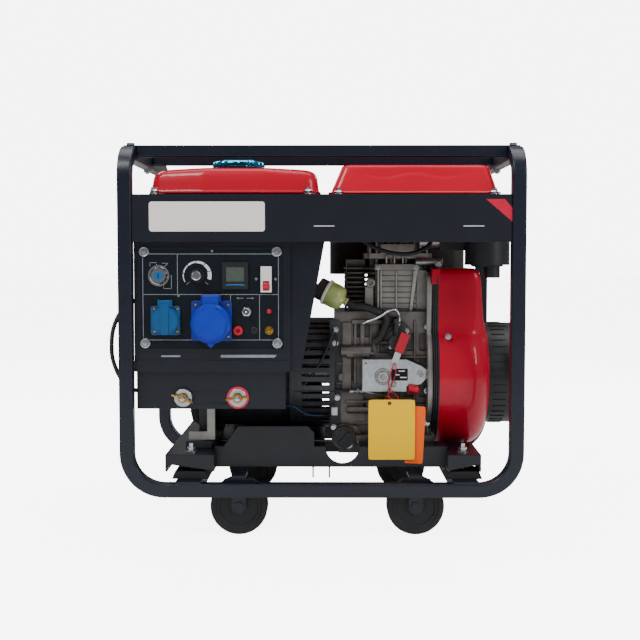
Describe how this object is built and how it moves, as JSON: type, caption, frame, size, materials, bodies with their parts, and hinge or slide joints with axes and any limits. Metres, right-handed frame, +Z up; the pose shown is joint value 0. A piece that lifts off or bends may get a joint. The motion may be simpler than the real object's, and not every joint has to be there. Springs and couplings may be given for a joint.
{
  "type": "engine driven welder",
  "caption": "Open tube frame engine driven welder on small wheels, with a red fuel tank, a diesel engine, an alternator and a front box with outlets and welding terminals.",
  "frame": {"origin": "middle of the whole footprint, at floor level", "axes": "+X towards the recoil starter, +Y towards the back, +Z up"},
  "size_m": [0.7681, 0.4944, 0.7098],
  "materials": {
    "black_paint": "satin black powder coat",
    "red_paint": "gloss red paint",
    "plate_print": "fine matt black printed plate",
    "badge": "pearl white film",
    "zinc": "bright zinc plate",
    "rubber": "moulded rubber",
    "cap_blue": "blue tinted chrome",
    "bowl": "translucent yellow green plastic",
    "chrome": "polished",
    "key_blue": "moulded",
    "dark_plastic": "moulded",
    "white_plastic": "moulded",
    "red_plastic": "moulded",
    "teal_plastic": "moulded",
    "blue_plastic": "moulded",
    "brass": "turned",
    "aluminium": "die cast",
    "steel": "machined",
    "iron": "cast",
    "copper_wire": "varnished winding"
  },
  "bodies": {
    "machine": {"front_hoop": "black_paint", "rear_hoop": "black_paint", "top_bars": "black_paint", "front_beam": "black_paint", "rear_beam": "black_paint", "plates_and_tags": "badge", "base_crossmembers": "black_paint", "rubber_mounts": "rubber", "engine_bed": "black_paint", "frame_bolts": "zinc", "axle_brackets": "black_paint", "tank_upper_shell": "red_paint", "tank_lower_shell": "red_paint", "cup_bolts": "zinc", "fuel_filter": "bowl", "fuel_hoses": "rubber", "engine_cover": "red_paint", "control_box": "black_paint", "control_plate": "plate_print", "key_switch": "chrome", "volt_meter": "dark_plastic", "breaker": "white_plastic", "small_socket": "teal_plastic", "large_socket": "blue_plastic", "panel_terminals": "brass", "weld_box": "black_paint", "weld_studs": "zinc", "wiring_loom": "dark_plastic", "crankcase": "aluminium", "cylinder": "aluminium", "cylinder_head": "aluminium", "piston": "aluminium", "fan_shroud": "red_paint", "recoil_starter": "dark_plastic", "muffler": "black_paint", "air_cleaner": "dark_plastic", "injection_pump": "iron", "speed_bracket": "zinc", "alternator_housing": "aluminium", "stator": "copper_wire", "battery": "dark_plastic"},
    "crank": {"crankshaft": "steel", "flywheel": "iron", "rotor": "steel"},
    "wheel_fl": {"wheel_front_left": "rubber"},
    "wheel_fr": {"wheel_front_right": "rubber"},
    "wheel_rl": {"wheel_rear_left": "rubber"},
    "wheel_rr": {"wheel_rear_right": "rubber"},
    "cap": {"fuel_cap": "cap_blue"},
    "key": {"key_barrel": "key_blue"},
    "knob": {"current_knob": "dark_plastic"},
    "trip_handle": {"breaker_rocker": "red_plastic"},
    "small_lid": {"small_socket_lid": "teal_plastic"},
    "large_lid": {"large_socket_lid": "blue_plastic"},
    "toggle": {"mode_lever": "chrome"},
    "left_nut": {"left_wing_nut": "brass"},
    "right_nut": {"right_wing_nut": "brass"},
    "starter_grip": {"recoil_handle": "dark_plastic"},
    "throttle": {"speed_lever": "red_plastic"},
    "oil_cap": {"oil_filler_cap": "dark_plastic"}
  },
  "joints": [
    {"name": "wheel_spin_fl", "type": "hinge", "parent": "machine", "child": "wheel_fl", "pos_m": [-0.15, -0.18555, 0.052], "axis": [0, 1, 0], "continuous": true},
    {"name": "wheel_spin_fr", "type": "hinge", "parent": "machine", "child": "wheel_fr", "pos_m": [0.17, -0.18555, 0.052], "axis": [0, 1, 0], "continuous": true},
    {"name": "wheel_spin_rl", "type": "hinge", "parent": "machine", "child": "wheel_rl", "pos_m": [-0.15, 0.19985, 0.052], "axis": [0, 1, 0], "continuous": true},
    {"name": "wheel_spin_rr", "type": "hinge", "parent": "machine", "child": "wheel_rr", "pos_m": [0.17, 0.19985, 0.052], "axis": [0, 1, 0], "continuous": true},
    {"name": "crank_spin", "type": "hinge", "parent": "machine", "child": "crank", "pos_m": [0.1, -0.00285, 0.276], "axis": [1, 0, 0], "continuous": true},
    {"name": "fuel_cap_turn", "type": "hinge", "parent": "machine", "child": "cap", "pos_m": [-0.158, -0.06785, 0.68], "axis": [0, 0, 1], "range_deg": [0, 90]},
    {"name": "key_turn", "type": "hinge", "parent": "machine", "child": "key", "pos_m": [-0.289, -0.21685, 0.47], "axis": [0, 1, 0], "range_deg": [0, 90]},
    {"name": "current_turn", "type": "hinge", "parent": "machine", "child": "knob", "pos_m": [-0.221, -0.21685, 0.4705], "axis": [0, 1, 0], "range_deg": [0, 270]},
    {"name": "breaker_trip", "type": "hinge", "parent": "machine", "child": "trip_handle", "pos_m": [-0.0985, -0.21835, 0.452], "axis": [1, 0, 0], "range_deg": [0, 24]},
    {"name": "small_lid_lift", "type": "hinge", "parent": "machine", "child": "small_lid", "pos_m": [-0.2775, -0.22485, 0.4235], "axis": [-1, 0, 0], "range_deg": [0, 120]},
    {"name": "large_lid_lift", "type": "hinge", "parent": "machine", "child": "large_lid", "pos_m": [-0.1955, -0.23085, 0.432], "axis": [-1, 0, 0], "range_deg": [0, 115]},
    {"name": "mode_switch", "type": "hinge", "parent": "machine", "child": "toggle", "pos_m": [-0.1335, -0.21785, 0.406], "axis": [0, 0, 1], "range_deg": [-14, 14]},
    {"name": "left_nut_turn", "type": "hinge", "parent": "machine", "child": "left_nut", "pos_m": [-0.2485, -0.20685, 0.251], "axis": [0, 1, 0], "continuous": true},
    {"name": "right_nut_turn", "type": "hinge", "parent": "machine", "child": "right_nut", "pos_m": [-0.1505, -0.20685, 0.251], "axis": [0, 1, 0], "continuous": true},
    {"name": "speed_turn", "type": "hinge", "parent": "machine", "child": "throttle", "pos_m": [0.134, -0.12485, 0.303], "axis": [0, -1, 0], "range_deg": [0, 45]},
    {"name": "oil_cap_turn", "type": "hinge", "parent": "machine", "child": "oil_cap", "pos_m": [0.042, -0.11685, 0.163], "axis": [0, 1, 0], "continuous": true},
    {"name": "starter_pull", "type": "slide", "parent": "machine", "child": "starter_grip", "axis": [0, -1, 0], "range_m": [0, 0.15]}
  ]
}
